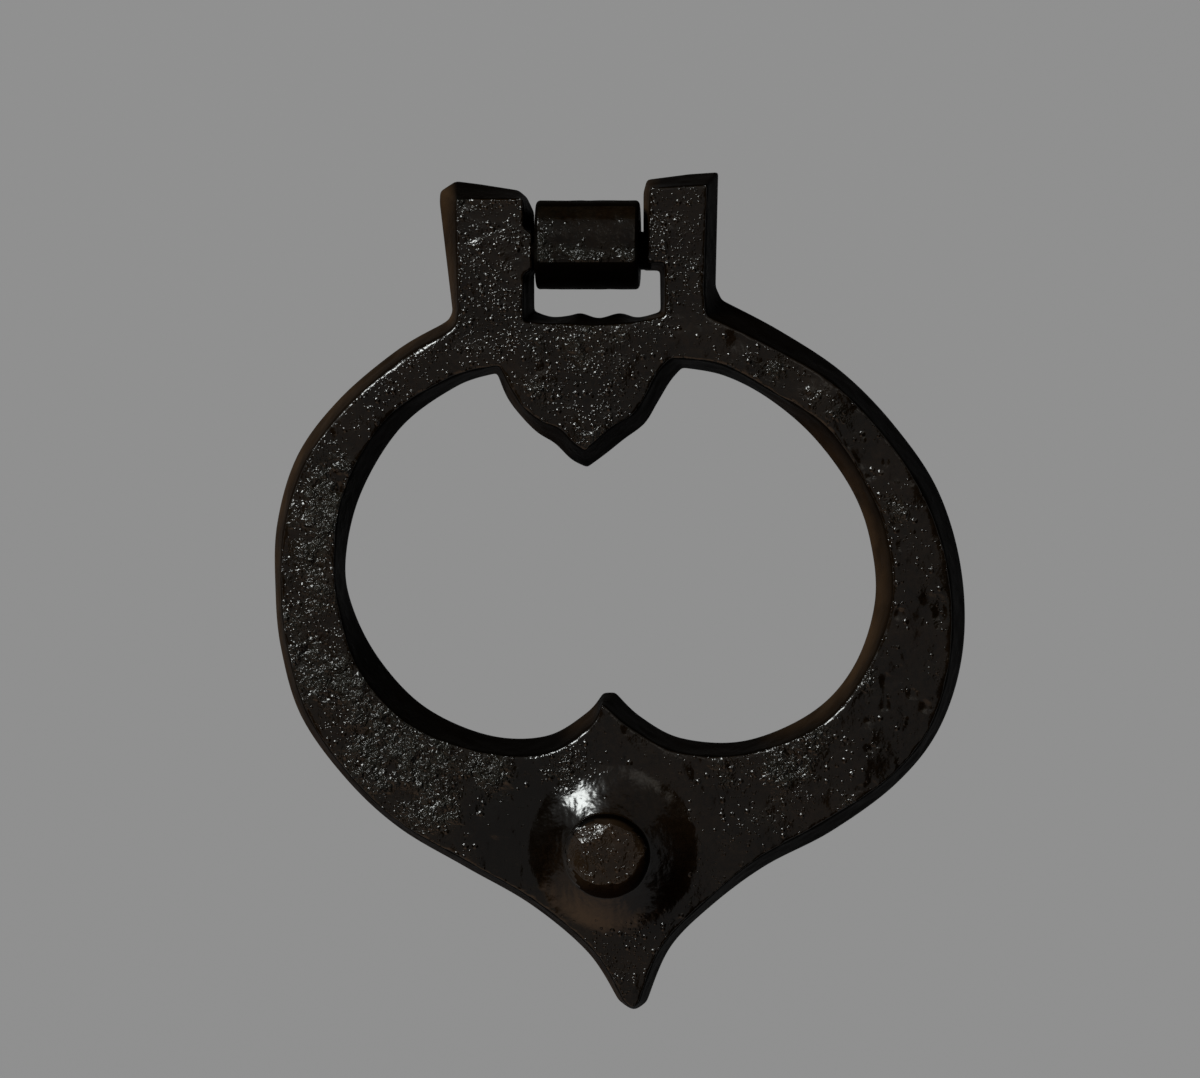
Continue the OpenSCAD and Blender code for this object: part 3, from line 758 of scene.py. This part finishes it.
def lacquer(name, finish, uneven, stained, gloss, shine):
    """Black lacquer over iron. Its colour turns brown in stains and where the brown attribute is high,
    which is painted warm reflection and sheen. Where the crinkle attribute is high it is crinkled like
    foil, in folds about a millimetre wide, and rougher, and its colour turns towards a grey painted sheen;
    where the grain attribute is high, round grains stand in it. uneven scales all of these, stained the
    stains and the black itself, gloss is the least roughness and shine the strength of the reflection."""
    g = Graph(bpy.data.materials.new(name))
    place = g.add("TexCoord").outputs["Object"]
    much = g.add("Attribute", attribute_name="crinkle").outputs["Fac"]
    weight = g.times(g.between(g.noise(place, 3.0 * MM), 0.36, 0.52), much)
    coarse = g.noise(place, 1.3 * MM, 2.5, 0.6, Distortion=0.8)
    ridge = g.math("ABSOLUTE", g.math("SUBTRACT", g.noise(place, 1.0 * MM, 0.5, 0.5, Distortion=1.0), 0.5))
    folds = g.times(g.math("ADD", coarse, g.times(ridge, -1.3)), weight)
    height = g.times(folds, finish.folds / MM)

    grain = g.add("Attribute", attribute_name="grain").outputs["Fac"]
    grain = g.math("MAXIMUM", grain, g.times(weight, 0.9))
    # Three sizes of grain: the millimetres between them and their height in millimetres. A grain's radius
    # is a share of the distance between them.
    grain_r = 0.38
    for cell, tall in ((1.4, 0.26), (0.8, 0.16), (0.5, 0.065)):
        spots = g.add("TexVoronoi", {"Vector": place, "Scale": 1 / (cell * MM), "Randomness": 1.0}).outputs
        chance = g.add("SeparateColor", {0: spots["Color"]}).outputs
        there = g.between(g.math("ADD", chance[0], g.times(grain, 1.3)), 1.0, 1.1)
        rise = g.times(there, g.between(chance[1], 0.0, 1.0, 0.3 * tall, tall))
        out = g.times(spots["Distance"], 1 / grain_r)
        dome = g.math("SUBTRACT", 1.0, g.math("POWER", out, 2.0), True)
        height = g.math("ADD", height, g.times(dome, rise))
    hollows = g.between(g.noise(place, 1.8 * MM), 0.3, 0.7, 0.0, 0.05)
    bump = g.add("Bump", {"Height": g.math("ADD", height, hollows), "Distance": MM * uneven})
    g.put(g.shader.inputs["Normal"], bump.outputs["Normal"])

    stain = g.between(g.noise(place, 11 * MM, 3.0), 0.4, 0.7, 0.0, 0.1)
    mottle = g.between(g.noise(place, 0.8 * MM, 3.0, 0.7), 0.35, 0.7, 0.0, 0.13)
    brown = g.add("Attribute", attribute_name="brown").outputs["Fac"]
    # Painted warm reflection and sheen from the brown attribute, broken up by noise
    worn = g.times(brown, g.between(g.noise(place, 5 * MM), 0.3, 0.6, 0.5, 1.0))
    stain_and_reflection_share = g.math("ADD", g.times(g.math("ADD", stain, mottle), stained), worn, True)
    black = [channel * (0.3 + 0.7 * stained) for channel in finish.black]
    colour = g.mix(stain_and_reflection_share, (*black, 1), (*finish.brown, 1))
    # Where the lacquer is crinkled its colour turns towards grey, a painted sheen
    painted_light = g.times(weight, 0.25 * stained)
    g.put(g.shader.inputs["Base Color"], g.mix(painted_light, colour, (*finish.skin, 1)))
    smear = g.between(g.noise(place, 3.5 * MM, 3.0), 0.3, 0.7, gloss, gloss + 0.08)
    g.put(g.shader.inputs["Roughness"], g.math("ADD", smear, g.times(weight, 0.04)))
    g.put(g.shader.inputs["Specular IOR Level"], shine)
    return g.owner


def dress(piece, node, materials):
    """Gives a piece its materials, and has it stand for a node on that node's body."""
    for material in materials:
        piece.data.materials.append(material)
    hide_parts(node)
    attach(piece, BODIES[node])


class HANDLE_OT_ring(bpy.types.Operator):
    """Makes the cast ring with its ears, shield, cusp, boss and bar"""

    bl_idname = "handle.ring"
    bl_label = "Cast ring"

    def execute(self, context):
        scene = context.scene
        finish = scene.handle_finish
        ring = make_mesh("cast_ring", *ring_casting(scene.handle_ring))
        face = lacquer("black lacquer on the cast face", finish, uneven=1.0, stained=1.0,
                       gloss=finish.gloss, shine=0.3)
        # The walls take a darker, duller copy of the lacquer: painted shade
        walls = lacquer("darker black with painted shade on the cast walls", finish, uneven=0.3, stained=0.1,
                        gloss=0.5, shine=0.01)
        dress(ring, RING_NODE, [face, walls])
        return {"FINISHED"}


class HANDLE_OT_eye(bpy.types.Operator):
    """Makes the rolled eye with its neck, collar and shank"""

    bl_idname = "handle.eye"
    bl_label = "Rolled eye"

    def execute(self, context):
        scene = context.scene
        finish = scene.handle_finish
        eye = make_mesh("rolled_strap_eye", *rolled_eye(scene.handle_eye))
        strap = lacquer("black lacquer on the strap", finish, uneven=0.7, stained=0.7,
                        gloss=finish.gloss, shine=0.18)
        # Painted shade: a darker, duller copy of the lacquer on the strap's top, underside and ends and on
        # the rest of the eye
        ends = lacquer("darker black with painted shade on the strap's ends", finish, uneven=0.3, stained=0.1,
                       gloss=0.5, shine=0.01)
        dress(eye, EYE_NODE, [strap, ends])
        return {"FINISHED"}


def aim(thing, place, target):
    """Puts a lamp or camera at a place, looking at the target."""
    thing.location = Vector(place)
    thing.rotation_mode = "QUATERNION"
    thing.rotation_quaternion = (Vector(target) - Vector(place)).to_track_quat("-Z", "Y")


def lamp(name, place, target, size, power, colour, soft):
    """A round lamp of that width. A soft one fades from its middle to its rim, as the distance from the
    middle of its own unit square grows."""
    light = bpy.data.lights.new(name, "AREA")
    light.shape = "DISK"
    light.size = size
    light.energy = power
    light.color = colour
    if soft:
        g = Graph(light)
        spot = g.add("NewGeometry").outputs["Parametric"]
        away = g.add("VectorMath", {0: spot, 1: (0.5, 0.5, 0)}, operation="DISTANCE").outputs["Value"]
        g.put(g.tree.nodes["Emission"].inputs["Strength"], g.between(away, 0.0, 0.5, 2.4, 0.0))
    thing = bpy.data.objects.new(name, light)
    thing.visible_camera = False
    bpy.context.scene.collection.objects.link(thing)
    aim(thing, place, target)


def matt(name, colour, shine):
    """A plain matt material."""
    g = Graph(bpy.data.materials.new(name))
    for key, value in (("Base Color", (*colour, 1)), ("Roughness", 0.9), ("Specular IOR Level", shine)):
        g.put(g.shader.inputs[key], value)
    return g


def stage_piece(name, points, faces, material):
    """A surface of the stage."""
    mesh = bpy.data.meshes.new(name)
    mesh.from_pydata(points.tolist(), [], faces.tolist())
    mesh.materials.append(material)
    thing = bpy.data.objects.new(name, mesh)
    bpy.context.scene.collection.objects.link(thing)
    return thing


def room(colour, tone):
    """A round floor that curves up into a wall all round: a quarter circle between a disc and a cylinder,
    turned once about the vertical through the handle. The camera and mirror-like reflections see its
    plain tone, with a share of its lit colour, so that the floor keeps the handle's shadow."""
    floor_z, flat, bend, top = -1.2, 1.7, 0.7, 2.4
    quarter = np.linspace(0, np.pi / 2, 16)
    reach = np.concatenate([[0.001, flat / 2], flat + bend * np.sin(quarter), [flat + bend]])[:, None]
    height = np.concatenate([[0, 0], bend * (1 - np.cos(quarter)), [top]])[:, None] + floor_z
    turn = np.linspace(0, 2 * np.pi, 64, endpoint=False)
    points = np.stack([reach * np.cos(turn), reach * np.sin(turn), height + 0 * turn], axis=2)
    g = matt("plain pale paint", colour, 0.1)
    ray = g.add("LightPath").outputs
    seen = g.math("MAXIMUM", g.math("MAXIMUM", ray["Is Camera Ray"], ray["Is Glossy Ray"]),
                  ray["Is Transmission Ray"])
    glow = g.add("Emission", {"Color": (*tone, 1), "Strength": 1.0}).outputs[0]
    both = g.add("MixShader", {0: g.times(seen, 0.75), 1: g.shader.outputs[0], 2: glow})
    g.put(g.tree.nodes["Material Output"].inputs["Surface"], both.outputs[0])
    thing = stage_piece("room", points.reshape(-1, 3), strip(len(reach), len(turn)), g.owner)
    thing.data.shade_smooth()


def upright(turn, height):
    """Places on an upright cylinder about the handle, at turns to the right of straight in front."""
    radius = 0.97
    return np.column_stack([radius * np.sin(turn), -radius * np.cos(turn), np.full(len(turn), height)])


def cloth(name, rows, colour):
    """A dark cloth between two rows of points, which the camera doesn't see."""
    material = matt(name, colour, 0.0).owner
    thing = stage_piece(name, np.vstack(rows), strip(2, len(rows[0]), False), material)
    thing.visible_camera = False


class HANDLE_OT_stage(bpy.types.Operator):
    """Makes the floor and wall, the lamps and the camera"""

    bl_idname = "handle.stage"
    bl_label = "Stage"

    def execute(self, context):
        scene = context.scene
        stage = scene.handle_stage
        room(stage.room, stage.tone)
        world = bpy.data.worlds.new("even light")
        world.use_nodes = True
        background = world.node_tree.nodes["Background"]
        background.inputs["Color"].default_value = (1, 1, 1, 1)
        background.inputs["Strength"].default_value = stage.sky
        scene.world = world
        middle = Vector((1.95, -15, -47.8)) * MM
        # Each lamp's name, place, width, power and colour, and whether it is soft
        for name, place, width, power, colour, soft in (
                ("key", (-0.68, -0.71, 0.78), 0.48, stage.key, (0.96, 1.0, 0.98), False),
                ("warm", (-0.22, -0.52, -0.74), 1.1, stage.fill, (1.0, 0.56, 0.27), True),
                ("top", (0.25, -0.85, 0.36), 0.6, 0.45, (1.0, 0.95, 0.86), True)):
            lamp(name, place, middle, width, power, colour, soft)
        right, left = np.radians(np.linspace(12, 66, 24)), np.radians(np.linspace(-72, -24, 24))
        # The lacquer mirrors these cloths, which keeps its slopes dark
        cloth("dark cloth on the right", [upright(right, z) for z in (-1.15, 0.4)], (0.02, 0.016, 0.012))
        cloth("dark cloth on the left", [upright(left, z) for z in (-0.55, 0.2)], (0.022, 0.013, 0.008))
        above = [[(x, -0.3, 0.6), (x, 0.6, 0.6)] for x in (-0.3, 0.5)]
        cloth("dark cloth above", above, (0.02, 0.02, 0.02))

        # The frame is 1200 pixels wide, and a millimetre of the ring is this many pixels
        scale, frame_w = 6.143, 1200
        camera = bpy.data.cameras.new("camera")
        camera.sensor_width = 36
        camera.lens = camera.sensor_width * stage.distance / MM * scale / frame_w
        thing = bpy.data.objects.new("camera", camera)
        scene.collection.objects.link(thing)
        a, e = stage.across, stage.above
        way = Vector((np.sin(a) * np.cos(e), -np.cos(a) * np.cos(e), np.sin(e)))
        aim(thing, middle + way * stage.distance, middle)
        scene.camera = thing
        scene.view_settings.view_transform = "Standard"
        return {"FINISHED"}


class HANDLE_PT_panel(bpy.types.Panel):
    bl_idname = "HANDLE_PT_panel"
    bl_label = "Ring pull"
    bl_space_type = "VIEW_3D"
    bl_region_type = "UI"
    bl_category = "Handle"

    def draw(self, context):
        scene = context.scene
        for step, groups in STEPS:
            box = self.layout.box()
            for group in groups:
                for name in group.__annotations__:
                    box.prop(getattr(scene, PLACES[group]), name)
            box.operator(step.bl_idname)


PLACES = {RingSizes: "handle_ring", EyeSizes: "handle_eye", Finish: "handle_finish", Stage: "handle_stage"}
STEPS = [(HANDLE_OT_ring, [RingSizes, Finish]), (HANDLE_OT_eye, [EyeSizes]), (HANDLE_OT_stage, [Stage])]
CLASSES = [*PLACES, HANDLE_OT_ring, HANDLE_OT_eye, HANDLE_OT_stage, HANDLE_PT_panel]


def register():
    for cls in CLASSES:
        bpy.utils.register_class(cls)
    for group, place in PLACES.items():
        setattr(bpy.types.Scene, place, bpy.props.PointerProperty(type=group))


def unregister():
    for place in PLACES.values():
        delattr(bpy.types.Scene, place)
    for cls in reversed(CLASSES):
        bpy.utils.unregister_class(cls)


def main():
    """Makes the handle and its stage."""
    register()
    bpy.ops.handle.ring()
    bpy.ops.handle.eye()
    bpy.ops.handle.stage()


if __name__ == "__main__":
    main()
